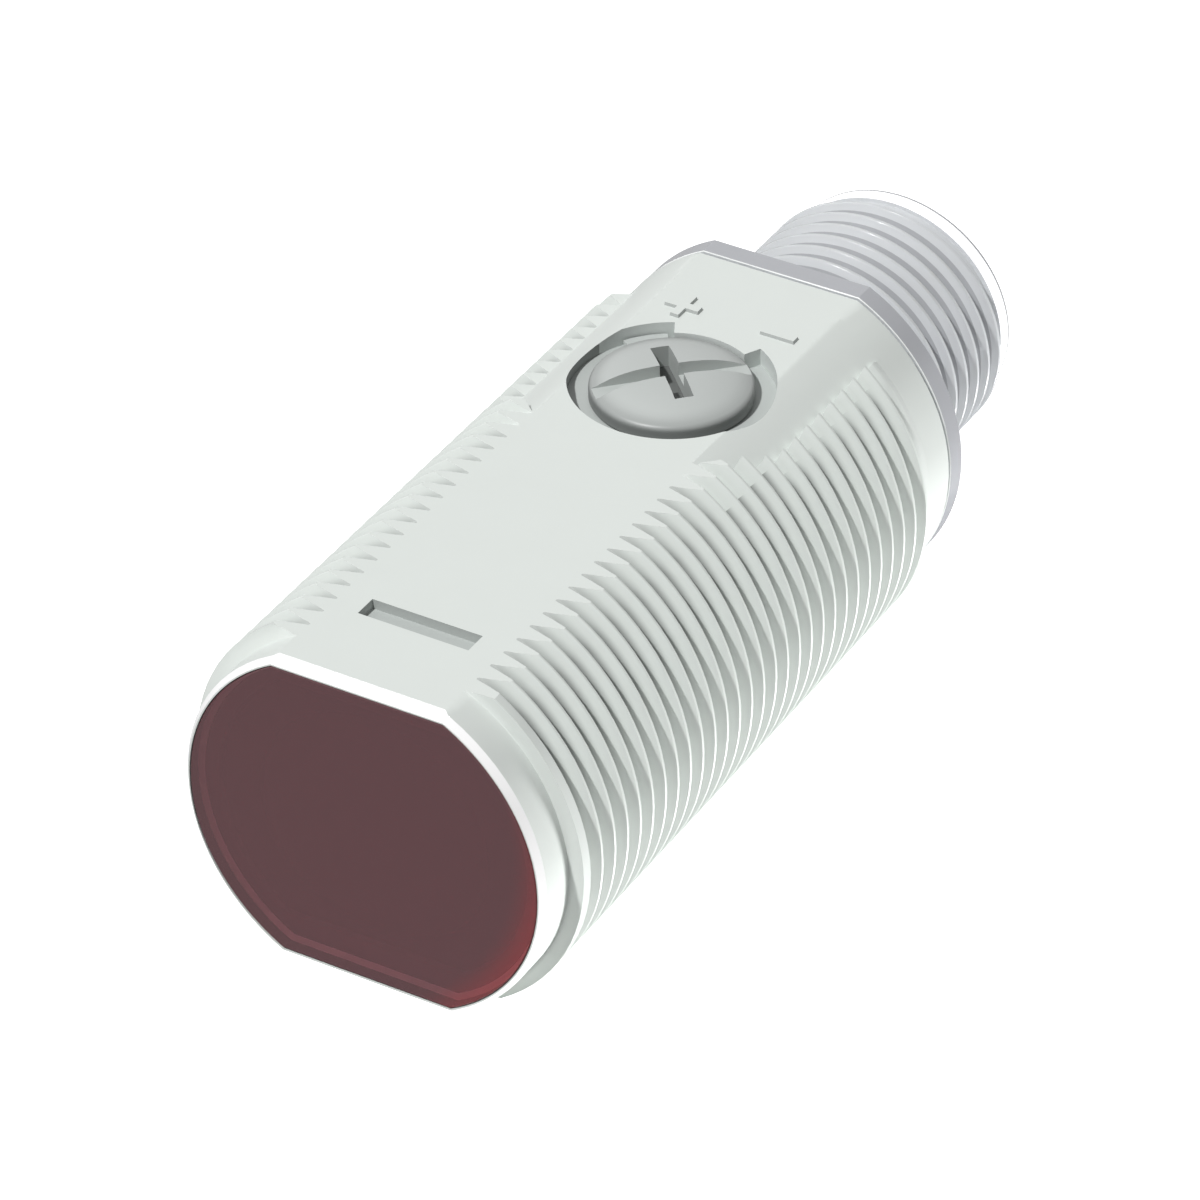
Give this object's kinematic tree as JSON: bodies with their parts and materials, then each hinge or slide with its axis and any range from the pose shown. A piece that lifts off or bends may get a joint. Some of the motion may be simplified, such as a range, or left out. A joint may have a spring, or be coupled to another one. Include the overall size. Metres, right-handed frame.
{
  "type": "transparent object sensor",
  "caption": "Cylindrical M18 light sensor for clear objects, with a dark red window, a sensitivity adjuster and an M12 plug.",
  "frame": {"origin": "centre of the window's outer face, on the barrel's axis", "axes": "+Y along the barrel towards the plug, +Z out of the flat that carries the adjuster"},
  "size_m": [0.0178, 0.0447, 0.0153],
  "materials": {
    "shell": "light grey moulded plastic, satin",
    "knob": "light grey moulded plastic, satin",
    "window": "dark red acrylic, polished",
    "plug_haze": "hazy clear plastic, glossy",
    "black_plastic": "black moulded plastic",
    "package_black": "black epoxy package",
    "film": "smoke grey polarising film",
    "clear_acrylic": "clear optical acrylic",
    "red_epoxy": "red tinted epoxy",
    "green_epoxy": "green tinted epoxy",
    "yellow_epoxy": "yellow tinted epoxy",
    "board": "glass epoxy board with green mask",
    "ceramic": "tan ceramic",
    "trimmer": "blue moulded plastic",
    "rotor": "white moulded plastic",
    "rubber": "black seal rubber",
    "contact": "gold plated brass"
  },
  "bodies": {
    "sensor": {"housing": "shell", "front_window": "window", "adjuster_seal": "rubber", "trimmer_body": "trimmer", "optics_holder": "black_plastic", "polarising_filter": "film", "collimator_lens": "clear_acrylic", "beam_splitter": "clear_acrylic", "emitter_led": "red_epoxy", "receiver_photodiode": "package_black", "main_board": "board", "connector_board": "board", "signal_chip": "package_black", "voltage_regulator": "package_black", "filter_capacitor": "ceramic", "output_transistor": "package_black", "protection_diode": "package_black", "power_led": "green_epoxy", "output_led": "yellow_epoxy", "connector_body": "plug_haze", "rear_seal": "rubber", "contact_carrier": "black_plastic", "contact_pin_1": "contact", "contact_pin_2": "contact", "contact_pin_3": "contact", "contact_pin_4": "contact"},
    "adjuster": {"adjuster_knob": "knob", "trimmer_rotor": "rotor"}
  },
  "joints": [
    {"name": "adjuster_turn", "type": "hinge", "parent": "sensor", "child": "adjuster", "pos_m": [0, 0.0246, 0.00739], "axis": [0, 0, 1], "range_deg": [0, 270]}
  ]
}
